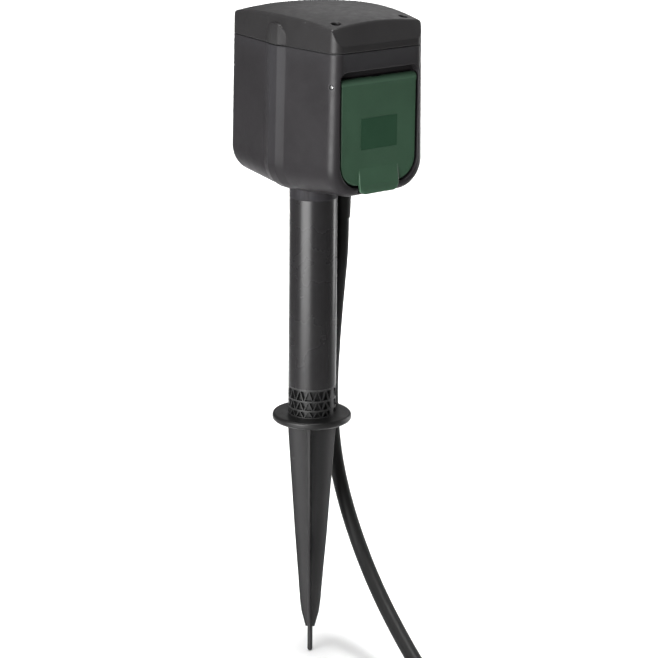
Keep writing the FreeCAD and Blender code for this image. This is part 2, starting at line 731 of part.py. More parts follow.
def lid():
    """The flap: a plate with a rim behind it, a hinge barrel on top and a finger lip below."""
    top = HINGE_Z
    outline = recess_outline(0, LID_LOW, top, LID_CORNER_R, 0)
    outline.translate(vec(0, LID_Y, 0))
    plate = outline.extrude(vec(0, LID_THICKNESS, 0))
    front = [e for e in plate.Edges if is_lid_front(e, top)]
    plate = plate.makeFillet(LID_EDGE_ROUND, front)
    rim_out = recess_outline(0, LID_LOW, top, LID_CORNER_R, 0)
    rim_in = recess_outline(-LID_RIM_THICKNESS, LID_LOW + LID_RIM_THICKNESS, top + 1,
                            LID_CORNER_R - LID_RIM_THICKNESS, 0)
    rim = rim_out.extrude(vec(0, LID_RIM_DEPTH + 1, 0)).cut(rim_in.extrude(vec(0, LID_RIM_DEPTH + 1, 0)))
    rim.translate(vec(0, LID_BACK_Y - 1, 0))
    barrel = rod(BARREL_R, vec(HEAD_X - LID_HALF_WIDTH, HINGE_Y, HINGE_Z), X, 2 * LID_HALF_WIDTH)
    flap = joined([plate, rim, barrel, finger_lip()])
    half = SPRING_POCKET_HALF
    pocket_r = PIN_R + PIN_RUNNING + 3 * SPRING_WIRE_R + SPRING_ROOM
    pocket = rod(pocket_r, vec(HEAD_X - half, HINGE_Y, HINGE_Z), X, 2 * half)
    leg_sweep = box((HEAD_X - half, HEAD_X + half), (HINGE_Y - SPRING_SWEEP, TROUGH_Y),
                    (HINGE_Z - BARREL_R, HINGE_Z + BARREL_R))
    bore = rod(PIN_R + PIN_RUNNING, vec(HEAD_X - FAR / 2, HINGE_Y, HINGE_Z), X, FAR)
    groove = pipe(LID_SEAL_R, LID_SEAL_R - LID_SEAL_WIDTH, vec(HEAD_X, LID_BACK_Y - LID_SEAL_GROOVE, WELL_Z),
                  Y, LID_SEAL_GROOVE)
    patch = patch_box(LID_Y, LID_Y + PATCH_POCKET)
    return flap.cut([pocket, leg_sweep, bore, groove, patch])


def is_lid_front(edge, top):
    """Whether an edge bounds the lid plate's outer face, other than along the hinge."""
    limits = edge.BoundBox
    flat = limits.YLength < 0.01 and abs(limits.YMin - LID_Y) < 0.01
    return flat and limits.ZMin < top - 0.01


def finger_lip():
    """The lip that a finger lifts, leaning out from the lid's lower edge."""
    low = LID_LOW - LIP_DROP
    out = LID_Y - LIP_OUT
    left = HEAD_X - LIP_HALF_WIDTH
    points = [
        vec(left, LID_Y, LID_LOW + LIP_BLEND),
        vec(left, out, LID_LOW),
        vec(left, out, low),
        vec(left, out + LIP_THICKNESS, low),
        vec(left, out + LIP_THICKNESS, LID_LOW),
        vec(left, LID_BACK_Y, LID_LOW + LIP_DROP),
        vec(left, LID_BACK_Y, LID_LOW + LIP_BLEND),
    ]
    lip = prism(points, vec(2 * LIP_HALF_WIDTH, 0, 0))
    corners = [e for e in lip.Edges if along_y(e) and e.CenterOfMass.z < low + 0.1]
    return lip.makeFillet(LIP_DROP * 0.8, corners)


def patch_box(near, far):
    low = HEAD_LOW + PATCH_RISE - PATCH_HEIGHT / 2
    x = (HEAD_X - PATCH_HALF_WIDTH, HEAD_X + PATCH_HALF_WIDTH)
    return box(x, (near, far), (low, low + PATCH_HEIGHT))


def lid_patch():
    """The plain darker plate let into the lid's face."""
    floor = LID_Y + PATCH_POCKET
    return patch_box(floor - PATCH_THICKNESS, floor)


def lid_seal():
    start = LID_BACK_Y - LID_SEAL_GROOVE
    reach = PLATE_Y - LID_SEAL_GAP - start
    return pipe(LID_SEAL_R, LID_SEAL_R - LID_SEAL_WIDTH, vec(HEAD_X, start, WELL_Z), Y, reach)


def hinge_pin():
    pin = rod(PIN_R, vec(HEAD_X - PIN_HALF_LENGTH, HINGE_Y, HINGE_Z), X, 2 * PIN_HALF_LENGTH)
    ends = [e for e in pin.Edges if len(e.Vertexes) == 1]
    return pin.makeFillet(PIN_R * 0.4, ends)


def lid_spring():
    """A torsion spring round the pin: a long leg down the trough and a short one to the lid."""
    centre_r = PIN_R + PIN_RUNNING + 2 * SPRING_WIRE_R
    span = SPRING_TURNS * SPRING_PITCH
    helix = Part.makeLongHelix(SPRING_PITCH, span, centre_r)
    circle = Part.makeCircle(SPRING_WIRE_R, vec(centre_r, 0, 0), Y)
    coil = Part.Wire(helix.Edges).makePipeShell([Part.Wire(circle)], True, True)
    wall_leg = rod(SPRING_WIRE_R, vec(centre_r, 0, 0), vec(0, -1, 0), SPRING_LEG)
    lid_leg = rod(SPRING_WIRE_R, vec(0, centre_r, span), vec(-1, 0, 0), SPRING_STUB)
    spring = joined([coil, lid_leg, wall_leg])
    spring.rotate(vec(0, 0, 0), Y, 90)
    spring.rotate(vec(0, 0, 0), X, 90)
    spring.translate(vec(HEAD_X - span / 2, HINGE_Y, HINGE_Z))
    return spring


# Socket inserts


def socket_insert():
    """The moulded insert: a screwed plate, the round well and the drum that holds the contacts."""
    x = (HEAD_X - PLATE_HALF_WIDTH, HEAD_X + PLATE_HALF_WIDTH)
    z = (WELL_Z - PLATE_HALF_HEIGHT, WELL_Z + PLATE_HALF_HEIGHT)
    plate = box(x, (PLATE_Y, PLATE_BACK_Y), z)
    plate = plate.makeFillet(PLATE_CORNER_R, [e for e in plate.Edges if along_y(e)])
    cup = rod(WELL_R + WELL_WALL, vec(HEAD_X, PLATE_Y, WELL_Z), Y, WELL_DEPTH + WELL_FLOOR)
    drum = rod(DRUM_R, vec(HEAD_X, DRUM_Y, WELL_Z), Y, DRUM_DEPTH)
    insert = joined([plate, cup, drum])
    cuts = [rod(WELL_R, vec(HEAD_X, PLATE_Y, WELL_Z), Y, WELL_DEPTH)]
    for side in (-1, 1):
        hole_x = HEAD_X + side * PIN_SPACING / 2
        cuts.append(rod(PIN_HOLE_R, vec(hole_x, WELL_FLOOR_Y, WELL_Z), Y, WELL_FLOOR))
        cuts.append(box((hole_x - CHAMBER_HALF, hole_x + CHAMBER_HALF), (DRUM_Y, DRUM_BACK_Y),
                        (WELL_Z - CHAMBER_HALF, WELL_Z + CHAMBER_HEAD)))
    cuts += strap_room()
    for sx, sz in plate_screw_places():
        cuts.append(rod(PLATE_SCREW_R + THREAD_CLEARANCE, vec(sx, PLATE_Y, sz), Y, PLATE_THICKNESS))
        cuts.append(rod(PLATE_SCREW_HEAD_R + THREAD_CLEARANCE, vec(sx, PLATE_Y, sz), Y, PLATE_SCREW_SUNK))
    return insert.cut(cuts).removeSplitter()


def strap_room():
    """Slots in the insert for the earth strap, its two fingers and its terminal."""
    half = STRAP_HALF_WIDTH + STRAP_CLEARANCE
    x = (HEAD_X - half, HEAD_X + half)
    back = DRUM_Y + STRAP_THICKNESS + STRAP_CLEARANCE
    reach = WELL_R + WELL_WALL + WELL_CLEARANCE
    rooms = [box(x, (DRUM_Y, back), (WELL_Z - reach, WELL_Z + reach))]
    front = DRUM_Y - STRAP_REACH - STRAP_CLEARANCE
    for side in (-1, 1):
        z = sorted((WELL_Z + side * (WELL_R - STRAP_CLEARANCE), WELL_Z + side * reach))
        rooms.append(box(x, (front, back), z))
    rise = EARTH_TERMINAL_HALF + STRAP_CLEARANCE
    low = WELL_Z + EARTH_TERMINAL_RISE - rise
    high = low + 2 * rise + TERMINAL_HEAD_HEIGHT
    rooms.append(box(x, (DRUM_Y, DRUM_BACK_Y), (low, high)))
    return rooms


def contacts():
    """The two spring sleeves behind the pin holes, each with its screw terminal."""
    pieces = []
    for side in (-1, 1):
        x = HEAD_X + side * PIN_SPACING / 2
        sleeve = pipe(SLEEVE_R, PIN_HOLE_R, vec(x, DRUM_Y, WELL_Z), Y, SLEEVE_LENGTH)
        start = DRUM_BACK_Y - TERMINAL_LENGTH
        block = box((x - TERMINAL_HALF, x + TERMINAL_HALF), (start, DRUM_BACK_Y),
                    (WELL_Z - TERMINAL_HALF, WELL_Z + TERMINAL_HALF))
        piece = joined([sleeve, block]).cut(rod(PIN_HOLE_R, vec(x, DRUM_Y, WELL_Z), Y, SLEEVE_LENGTH))
        hole = rod(TERMINAL_SCREW_R + THREAD_CLEARANCE, vec(x, terminal_y(), WELL_Z), Z, TERMINAL_HALF)
        pieces.append(piece.cut(hole))
    return group(pieces)


def terminal_y():
    return DRUM_BACK_Y - (TERMINAL_LENGTH - DRUM_DEPTH + SLEEVE_LENGTH) / 2


def earth_strap():
    """One bent strip: a base behind the well's floor and a finger on each side of the well."""
    x = (HEAD_X - STRAP_HALF_WIDTH, HEAD_X + STRAP_HALF_WIDTH)
    inner = WELL_R
    outer = inner + STRAP_THICKNESS
    back = DRUM_Y + STRAP_THICKNESS
    pieces = [box(x, (DRUM_Y, back), (WELL_Z - outer, WELL_Z + outer))]
    for side in (-1, 1):
        z = sorted((WELL_Z + side * inner, WELL_Z + side * outer))
        pieces.append(box(x, (DRUM_Y - STRAP_REACH, back), z))
    half = EARTH_TERMINAL_HALF
    z = WELL_Z + EARTH_TERMINAL_RISE
    block = box((HEAD_X - half, HEAD_X + half), (DRUM_Y, DRUM_BACK_Y), (z - half, z + half))
    hole = rod(TERMINAL_SCREW_R + THREAD_CLEARANCE, vec(HEAD_X, terminal_y(), z), Z, half)
    return joined(pieces + [block]).cut(hole)


def terminal_screws():
    places = [(HEAD_X + side * PIN_SPACING / 2, WELL_Z + TERMINAL_HALF) for side in (-1, 1)]
    places.append((HEAD_X, WELL_Z + EARTH_TERMINAL_RISE + EARTH_TERMINAL_HALF))
    screws = []
    for x, z in places:
        seat = vec(x, terminal_y(), z)
        screws.append(pan_screw(seat, vec(0, 0, -1), TERMINAL_SCREW_R, EARTH_TERMINAL_HALF,
                                TERMINAL_HEAD_R, TERMINAL_HEAD_HEIGHT))
    return group(screws)


def insert_gasket():
    """The thin seal between the insert's plate and the floor of the recess."""
    outer = rod(WELL_R + WELL_WALL + WELL_CLEARANCE + LID_SEAL_WIDTH, vec(HEAD_X, PLATE_BACK_Y, WELL_Z), Y,
                GASKET_THICKNESS)
    inner = rod(WELL_R + WELL_WALL + WELL_CLEARANCE, vec(HEAD_X, PLATE_BACK_Y, WELL_Z), Y, GASKET_THICKNESS)
    return outer.cut(inner)


def plate_screws():
    screws = []
    for x, z in plate_screw_places():
        seat = vec(x, PLATE_Y + PLATE_SCREW_SUNK, z)
        screws.append(pan_screw(seat, Y, PLATE_SCREW_R, PLATE_SCREW_LENGTH, PLATE_SCREW_HEAD_R,
                                PLATE_SCREW_HEAD))
    return group(screws)


# Cable entry and inner wiring


def grommet():
    """The rubber sleeve that tapers down the cable from the head's underside."""
    root_r = CABLE_R + GROMMET_CLEARANCE + GROMMET_ROOT_WALL
    tip_r = CABLE_R + GROMMET_CLEARANCE + GROMMET_TIP_WALL
    taper = Part.makeCone(tip_r, root_r, GROMMET_LENGTH, vec(CABLE_OUT, 0, GROMMET_LOW))
    neck_part = rod(root_r, vec(CABLE_OUT, 0, BELLY_Z), Z, HEAD_WALL)
    flange = rod(GROMMET_FLANGE_R, vec(CABLE_OUT, 0, FLOOR_TOP), Z, GROMMET_FLANGE)
    bore = rod(CABLE_R + GROMMET_CLEARANCE, vec(CABLE_OUT, 0, GROMMET_LOW), Z, FAR)
    return joined([taper, neck_part, flange]).cut(bore)


def cable_inner():
    return rod(CABLE_R, vec(CABLE_OUT, 0, GROMMET_LOW), Z, CABLE_TOP - GROMMET_LOW)


def clamp_base():
    """The moulded half of the cord grip, standing on the floor of the head."""
    near = CABLE_R + CLAMP_GAP
    x = (CABLE_OUT - CLAMP_HALF_WIDTH, CABLE_OUT + CLAMP_HALF_WIDTH)
    high = FLOOR_TOP + CLAMP_LOW + CLAMP_HEIGHT
    return box(x, (near, near + CLAMP_BASE_DEPTH), (FLOOR_TOP - HEAD_WALL / 2, high))


def clamp_z():
    return FLOOR_TOP + CLAMP_LOW + CLAMP_HEIGHT / 2


def clamp_screw_holes():
    near = CABLE_R + CLAMP_GAP
    return [rod(TERMINAL_SCREW_R + THREAD_CLEARANCE, vec(CABLE_OUT + side * CLAMP_SCREW_OUT, near, clamp_z()),
                Y, CLAMP_BASE_DEPTH) for side in (-1, 1)]


def cable_clamp():
    far = CABLE_R + CLAMP_GAP
    x = (CABLE_OUT - CLAMP_HALF_WIDTH, CABLE_OUT + CLAMP_HALF_WIDTH)
    z = (FLOOR_TOP + CLAMP_LOW, FLOOR_TOP + CLAMP_LOW + CLAMP_HEIGHT)
    bar = box(x, (-far - CLAMP_THICKNESS, -far), z)
    for side in (-1, 1):
        x_hole = CABLE_OUT + side * CLAMP_SCREW_OUT
        bar = bar.cut(rod(TERMINAL_SCREW_R + THREAD_CLEARANCE, vec(x_hole, -far - CLAMP_THICKNESS, clamp_z()),
                          Y, CLAMP_THICKNESS))
    return bar


def clamp_screws():
    far = CABLE_R + CLAMP_GAP
    length = CLAMP_THICKNESS + 2 * far + CLAMP_BASE_DEPTH - 1
    screws = []
    for side in (-1, 1):
        seat = vec(CABLE_OUT + side * CLAMP_SCREW_OUT, -far - CLAMP_THICKNESS, clamp_z())
        screws.append(pan_screw(seat, Y, TERMINAL_SCREW_R, length, TERMINAL_HEAD_R, TERMINAL_HEAD_HEIGHT))
    return group(screws)


def tangent_arc(start, corner, end):
    """The arc that leaves start towards corner and arrives at end from corner."""
    chord_mid = (start + end) * 0.5
    out = corner - chord_mid
    h = out.Length
    c = (end - start).Length / 2
    d = (corner - start).Length
    middle = chord_mid + out * (c * (d - c) / (h * h))
    return Part.Arc(start, middle, end).toShape(), c * d / h


def rounded_path(points):
    """Straight runs joined by tangent arcs as large as the runs allow, and the arcs' radii."""
    edges = []
    radii = []
    here = points[0]
    for before, corner, after in zip(points, points[1:], points[2:]):
        back = before - corner
        ahead = after - corner
        reach = 0.45 * min(back.Length, ahead.Length)
        start = corner + back * (reach / back.Length)
        end = corner + ahead * (reach / ahead.Length)
        edges.append(Part.LineSegment(here, start).toShape())
        arc, radius = tangent_arc(start, corner, end)
        edges.append(arc)
        radii.append(radius)
        here = end
    edges.append(Part.LineSegment(here, points[-1]).toShape())
    return Part.Wire(edges), radii


def tube_along(path, radius, start, direction):
    """A round solid swept along a path that starts at start in direction."""
    circle = Part.Wire(Part.makeCircle(radius, start, direction))
    return path.makePipeShell([circle], True, False)


def wire_run(points):
    path = rounded_path(points)[0]
    return tube_along(path, WIRE_R, points[0], points[1] - points[0])


def core_wires(angle, terminal_x, terminal_z):
    """One core: from the cable's end to the front terminal, then across to the rear one."""
    a = math.radians(angle)
    start = vec(CABLE_OUT + WIRE_RING_R * math.cos(a), WIRE_RING_R * math.sin(a), CABLE_TOP)
    rise = CHAMBER_HALF
    feed_end = vec(terminal_x, DRUM_BACK_Y, terminal_z - WIRE_SPLIT)
    feed = [start, start + vec(0, 0, rise), feed_end + vec(0, 2 * rise, 0), feed_end]
    link_end = vec(terminal_x, DRUM_BACK_Y, terminal_z + WIRE_SPLIT)
    far_end = vec(terminal_x, -DRUM_BACK_Y, terminal_z + WIRE_SPLIT)
    arch = (link_end + far_end) * 0.5 + vec(0, 0, rise)
    link = [link_end, link_end + vec(0, rise, 0), arch, far_end - vec(0, rise, 0), far_end]
    return group([wire_run(feed), wire_run(link)])


# Free cable, coil, tie and plug


def coil_place(turn):
    """A point of the coil and its direction, at a number of turns from its start."""
    angle = math.radians(COIL_START_ANGLE) - 2 * math.pi * turn
    inward = min(turn, 2 * COIL_TURNS_IN - turn)
    radius = COIL_OUTER_R - COIL_PITCH * inward
    at_turn = min(abs(turn), abs(turn - COIL_TURNS_IN), abs(turn - COIL_TURNS)) < 0.01
    rate = 0 if at_turn else COIL_PITCH / (2 * math.pi) * (1 if turn < COIL_TURNS_IN else -1)
    climb = smooth((turn - COIL_TURNS_IN) / 0.5 + 0.5)
    last = smooth((turn - COIL_TURNS) / 0.5 + 1)
    z = COIL_Z + COIL_LIFT * climb + (PLUG_Z - COIL_Z - COIL_LIFT) * last
    slope = COIL_LIFT * smooth_rate((turn - COIL_TURNS_IN) / 0.5 + 0.5)
    slope += (PLUG_Z - COIL_Z - COIL_LIFT) * smooth_rate((turn - COIL_TURNS) / 0.5 + 1)
    centre = vec(COIL_CENTRE_X, COIL_CENTRE_Y, 0)
    out = vec(math.cos(angle), math.sin(angle), 0)
    along = vec(math.sin(angle), -math.cos(angle), 0)
    place = centre + out * radius + vec(0, 0, z)
    direction = along * radius - out * rate + vec(0, 0, slope / (0.5 * 2 * math.pi))
    return place, direction.normalize()


def smooth(share):
    """Rises from 0 to 1 with no slope at either end."""
    t = max(0.0, min(1.0, share))
    return t * t * (3 - 2 * t)


def smooth_rate(share):
    t = max(0.0, min(1.0, share))
    return 6 * t * (1 - t)


def biarc(start, start_way, end, end_way):
    """Two tangent arcs between two placed directions."""
    gap = end - start
    ways = start_way + end_way
    a = ways.dot(ways) - 4
    b = -2 * gap.dot(ways)
    c = gap.dot(gap)
    d = (-b - math.sqrt(b * b - 4 * a * c)) / (2 * a)
    first = start + start_way * d
    second = end - end_way * d
    joint = (first + second) * 0.5
    return [tangent_arc(start, first, joint)[0], tangent_arc(joint, second, end)[0]]


def coil_path():
    """A straight end, biarcs a quarter turn long, and a straight end."""
    start, way = coil_place(0)
    edges = [Part.LineSegment(start - way * COIL_STRAIGHT, start).toShape()]
    quarters = int(round(COIL_TURNS * 4))
    for i in range(quarters):
        here, here_way = coil_place(i / 4)
        there, there_way = coil_place((i + 1) / 4)
        edges += biarc(here, here_way, there, there_way)
    end, way = coil_place(COIL_TURNS)
    edges.append(Part.LineSegment(end, end + way * COIL_STRAIGHT).toShape())
    return Part.Wire(edges)


def coil_gap(path):
    """Least clear distance between turns, measured on points along the path."""
    points = path.discretize(Number=900)
    spacing = path.Length / 899
    skip = int(8 * CABLE_R / spacing)
    least = FAR
    for i in range(0, len(points), 3):
        for j in range(i + skip, len(points), 3):
            least = min(least, points[i].distanceToPoint(points[j]))
    return least - 2 * CABLE_R


def cable_points():
    start = vec(CABLE_OUT, 0, GROMMET_LOW)
    entry, way = coil_place(0)
    end = entry - way * COIL_STRAIGHT
    return [start] + [vec(*p) for p in CABLE_ROUTE] + [end - way * CABLE_LAST_RUN, end]


def cable_run():
    points = cable_points()
    path, radii = rounded_path(points)
    tube = tube_along(path, CABLE_R, points[0], points[1] - points[0])
    print("cable runs", [round((b - a).Length, 1) for a, b in zip(points, points[1:])])
    print("cable arc radii", [round(r, 1) for r in radii])
    print("cable tube volume", round(tube.Volume), "section times length",
          round(math.pi * CABLE_R ** 2 * path.Length), "length", round(path.Length, 1))
    return tube


def cable_coil():
    path = coil_path()
    start, way = coil_place(0)
    coil = tube_along(path, CABLE_R, start - way * COIL_STRAIGHT, way)
    print("coil length", round(path.Length, 1), "least gap", round(coil_gap(path), 2))
    return coil


def coil_tie():
    """A flat strap round the coil's turns, at one place."""
    crossings = []
    turn = TIE_TURN
    while turn <= COIL_TURNS:
        crossings.append(coil_place(turn)[0])
        turn += 1.0
    centre = vec(COIL_CENTRE_X, COIL_CENTRE_Y, 0)
    radii = [vec(p.x, p.y, 0).distanceToPoint(centre) for p in crossings]
    heights = [p.z for p in crossings]
    edge = CABLE_R + TIE_CLEARANCE
    r = (min(radii) - edge, max(radii) + edge)
    z = (min(heights) - CABLE_R, max(heights) + edge)
    w = TIE_WIDTH / 2
    t = TIE_THICKNESS
    outer = box((r[0] - t, r[1] + t), (-w, w), (z[0] - t, z[1] + t))
    outer = outer.makeFillet(2 * t, [e for e in outer.Edges if along_y(e)])
    inner = box((r[0], r[1]), (-w, w), (z[0], z[1]))
    inner = inner.makeFillet(t, [e for e in inner.Edges if along_y(e)])
    tie = outer.cut(inner)
    tie.rotate(vec(0, 0, 0), Z, COIL_START_ANGLE - 360 * TIE_TURN)
    tie.translate(centre)
    return tie


def plug_start():
    """Where the cable ends in the plug's boot, and the way the plug points."""
    end, way = coil_place(COIL_TURNS)
    return end + way * COIL_STRAIGHT, way


def plug_boot():
    """A ribbed rubber sleeve that tapers towards the cable."""
    start, way = plug_start()
    step = BOOT_LENGTH / BOOT_RIBS
    boot = Part.makeCone(BOOT_TIP_R - GROMMET_TIP_WALL, BOOT_ROOT_R - GROMMET_TIP_WALL, BOOT_LENGTH, start, way)
    rings = []
    for i in range(BOOT_RIBS):
        share = (i + 0.5) / BOOT_RIBS
        radius = BOOT_TIP_R + (BOOT_ROOT_R - BOOT_TIP_R) * share
        rings.append(rod(radius, start + way * (step * (i + 0.25)), way, step * 0.5))
    return joined([boot] + rings)


def plug_body():
    """The round earthed plug: face, side guides and earth notches, then a tapered grip."""
    start, way = plug_start()
    root = start + way * BOOT_LENGTH
    waist = PLUG_R * 0.86
    taper = Part.makeCone(PLUG_NECK_R, waist, PLUG_TAPER_LENGTH, root, way)
    shoulder = root + way * PLUG_TAPER_LENGTH
    face = rod(PLUG_R, shoulder, way, PLUG_FACE_LENGTH)
    rims = [e for e in face.Edges if len(e.Vertexes) == 1]
    body = joined([taper, face.makeFillet(PLUG_EARTH_STRIP, rims)])
    side = way.cross(Z)
    cuts = []
    for sign in (-1, 1):
        cuts.append(plug_slot(shoulder, way, side * sign, Z, PLUG_GUIDE_WIDTH, PLUG_GUIDE_DEPTH))
        cuts.append(plug_slot(shoulder, way, Z * sign, side, PLUG_EARTH_WIDTH, PLUG_EARTH_DEPTH))
        cuts.append(plug_pin(sign))
    return body.cut(group(cuts))


def plug_slot(shoulder, way, out, across, width, depth):
    """A flat-bottomed slot along the plug's round side, open at its face."""
    near = PLUG_R - depth
    corner = shoulder + way * (PLUG_FACE_LENGTH * 0.2) + out * near - across * (width / 2)
    points = [
        corner,
        corner + across * width,
        corner + across * width + out * (depth * 2),
        corner + out * (depth * 2),
    ]
    return prism(points, way * PLUG_FACE_LENGTH)


def plug_pin(sign):
    """A pin with a thinner root that is sunk in the plug."""
    start, way = plug_start()
    side = way.cross(Z)
    face = start + way * (BOOT_LENGTH + PLUG_TAPER_LENGTH + PLUG_FACE_LENGTH) + side * (sign * PIN_SPACING / 2)
    root = rod(PLUG_PIN_ROOT_R, face - way * PLUG_PIN_SUNK, way, PLUG_PIN_SUNK + 1)
    shank = rod(PLUG_PIN_R, face, way, PLUG_PIN_LENGTH)
    tip = [e for e in shank.Edges if len(e.Vertexes) == 1 and (e.CenterOfMass - face).dot(way) > 1]
    return joined([root, shank.makeFillet(PLUG_PIN_R * 0.6, tip)])


def plug_pins():
    return group([plug_pin(sign) for sign in (-1, 1)])


def plug_earth_contacts():
    """The two side strips that meet the socket's earth fingers."""
    start, way = plug_start()
    side = way.cross(Z)
    shoulder = start + way * (BOOT_LENGTH + PLUG_TAPER_LENGTH)
    strips = []
    for sign in (-1, 1):
        floor = PLUG_R - PLUG_EARTH_DEPTH
        width = PLUG_EARTH_WIDTH * 0.8
        corner = shoulder + way * (PLUG_FACE_LENGTH * 0.25) + Z * (sign * floor) - side * (width / 2)
        rise = Z * (sign * PLUG_EARTH_STRIP)
        points = [corner, corner + side * width, corner + side * width + rise, corner + rise]
        strips.append(prism(points, way * (PLUG_FACE_LENGTH * 0.7)))
    return group(strips)


def build():
    os.makedirs("parts", exist_ok=True)
    outer = joined([rim_rounded(head_form(0)), side_ribs()])
    save("head_body", head_body(outer))
    save("head_neck", head_neck(outer))
    save("top_cover", top_cover(outer))
    save("cover_seal", cover_seal())
    save("cover_screws", cover_screws())
    save("post_tube", post_tube())
    save("post_screws", post_screws())
    save("lattice_collar", lattice_collar())
    save("ground_flange", ground_flange())
    save("ground_spike", ground_spike())
    pairs = [
        ("lid", lid()),
        ("lid_patch", lid_patch()),
        ("lid_seal", lid_seal()),
        ("hinge_pin", hinge_pin()),
        ("lid_spring", lid_spring()),
        ("socket_insert", socket_insert()),
        ("socket_contacts", contacts()),
        ("earth_strap", earth_strap()),
        ("terminal_screws", terminal_screws()),
        ("insert_gasket", insert_gasket()),
        ("insert_screws", plate_screws()),
    ]
    for name, shape in pairs:
        save("front_" + name, shape)
        save("rear_" + name, turned(shape))
    save("cable_grommet", grommet())
    save("cable_inner", cable_inner())
    save("cable_clamp", cable_clamp())
    save("clamp_screws", clamp_screws())
    save("live_wires", core_wires(210, HEAD_X - PIN_SPACING / 2, WELL_Z))
    save("neutral_wires", core_wires(-30, HEAD_X + PIN_SPACING / 2, WELL_Z))
    save("earth_wires", core_wires(90, HEAD_X, WELL_Z + EARTH_TERMINAL_RISE))
    save("cable_run", cable_run())
    save("cable_coil", cable_coil())
    save("coil_tie", coil_tie())
    save("plug_boot", plug_boot())
    save("plug_body", plug_body())
    save("plug_pins", plug_pins())
    save("plug_earth_contacts", plug_earth_contacts())


build()
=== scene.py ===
import json
import math

import bpy
from mathutils import Matrix, Vector


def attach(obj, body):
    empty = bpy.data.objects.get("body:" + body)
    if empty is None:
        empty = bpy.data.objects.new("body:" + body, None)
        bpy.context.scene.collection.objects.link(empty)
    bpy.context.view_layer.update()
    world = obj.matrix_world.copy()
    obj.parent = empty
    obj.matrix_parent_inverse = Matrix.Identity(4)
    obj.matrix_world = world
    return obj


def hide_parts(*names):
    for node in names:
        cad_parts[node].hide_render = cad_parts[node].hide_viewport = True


# Garden socket on a ground spike. Metres, in the CAD frame: +Z up, the front lid faces -Y.

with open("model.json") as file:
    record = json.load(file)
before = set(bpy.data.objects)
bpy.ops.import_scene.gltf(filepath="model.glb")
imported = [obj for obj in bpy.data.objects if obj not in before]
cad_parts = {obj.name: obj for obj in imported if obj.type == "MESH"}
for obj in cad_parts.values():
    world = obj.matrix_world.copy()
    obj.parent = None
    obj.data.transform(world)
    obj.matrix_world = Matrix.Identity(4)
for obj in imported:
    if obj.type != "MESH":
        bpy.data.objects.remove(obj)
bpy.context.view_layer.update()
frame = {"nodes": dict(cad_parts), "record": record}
NODES = frame["nodes"]


# Shader nodes. The Mix node's colour sockets go by number, since it also has number and
# vector sockets of the same names.
MIX_FIRST = 6
MIX_SECOND = 7
MIX_RESULT = 2


def add_node(tree, kind, **settings):
    """A new node of a kind with its settings."""
    node = tree.nodes.new(kind)
    for name, value in settings.items():
        setattr(node, name, value)
    return node


def noise_of(tree, vector, scale, detail=3.0, rough=0.5):
    """Noise around 0.5 over a place in metres."""
    noise = add_node(tree, "ShaderNodeTexNoise")
    noise.inputs["Scale"].default_value = scale
    noise.inputs["Detail"].default_value = detail
    noise.inputs["Roughness"].default_value = rough
    tree.links.new(vector, noise.inputs["Vector"])
    return noise.outputs["Fac"]


def ranged(tree, value, low, high, start=0.3, end=0.7):
    """A value's range from start to end, mapped to low to high."""
    node = add_node(tree, "ShaderNodeMapRange")
    node.inputs["From Min"].default_value = start
    node.inputs["From Max"].default_value = end
    node.inputs["To Min"].default_value = low
    node.inputs["To Max"].default_value = high
    tree.links.new(value, node.inputs["Value"])
    return node.outputs["Result"]


def mixed(tree, share, first, second):
    """Two colours mixed by a share; each is a colour or a socket."""
    node = add_node(tree, "ShaderNodeMix", data_type="RGBA")
    tree.links.new(share, node.inputs["Factor"])
    for socket, colour in ((node.inputs[MIX_FIRST], first), (node.inputs[MIX_SECOND], second)):
        if isinstance(colour, tuple):
            socket.default_value = (*colour, 1.0)
        else:
            tree.links.new(colour, socket)
    return node.outputs[MIX_RESULT]


def stretched(tree, vector, scale):
    """A place with each axis scaled."""
    node = add_node(tree, "ShaderNodeMapping")
    node.inputs["Scale"].default_value = scale
    tree.links.new(vector, node.inputs["Vector"])
    return node.outputs["Vector"]


def bumped(tree, heights, shader, edge_round=0.0):
    """Bumps in a chain: each entry is a height socket, its depth in metres and a strength.

    With an edge round, in metres, the edges are also shaded as if they were rounded.
    """
    normal = None
    if edge_round > 0:
        bevel = add_node(tree, "ShaderNodeBevel", samples=8)
        bevel.inputs["Radius"].default_value = edge_round
        normal = bevel.outputs["Normal"]
    for height, depth, strength in heights:
        node = add_node(tree, "ShaderNodeBump")
        node.inputs["Strength"].default_value = strength
        node.inputs["Distance"].default_value = depth
        tree.links.new(height, node.inputs["Height"])
        if normal is not None:
            tree.links.new(normal, node.inputs["Normal"])
        normal = node.outputs["Normal"]
    tree.links.new(normal, shader.inputs["Normal"])


def dulled(tree, shader, place, specular, start, end, dull, colour=None):
    """Lets the gloss, and the colour if one is given, fade from one height to another."""
    height = add_node(tree, "ShaderNodeSeparateXYZ")
    tree.links.new(place, height.inputs["Vector"])
    share = ranged(tree, height.outputs["Z"], 0.0, 1.0, start, end)
    gloss = ranged(tree, share, specular, dull, 0.0, 1.0)
    tree.links.new(gloss, shader.inputs["Specular IOR Level"])
    # A given colour is painted in over the same heights; on the spike's stub it is painted
    # shade.
    if colour is not None:
        base = shader.inputs["Base Color"].links[0].from_socket
        tree.links.new(mixed(tree, share, base, colour), shader.inputs["Base Color"])


# Materials
def grey(value):
    """A neutral colour."""
    return (value, value, value)


def shaded(colour, share):
    """A colour taken down to a share of its brightness."""
    return tuple(c * share for c in colour)


def new_material(name):
    """A material with its node tree, its shader and the place in the piece's own metres."""
    material = bpy.data.materials.new(name)
    material.use_nodes = True
    tree = material.node_tree
    shader = tree.nodes["Principled BSDF"]
    place = add_node(tree, "ShaderNodeTexCoord").outputs["Object"]
    return material, tree, shader, place


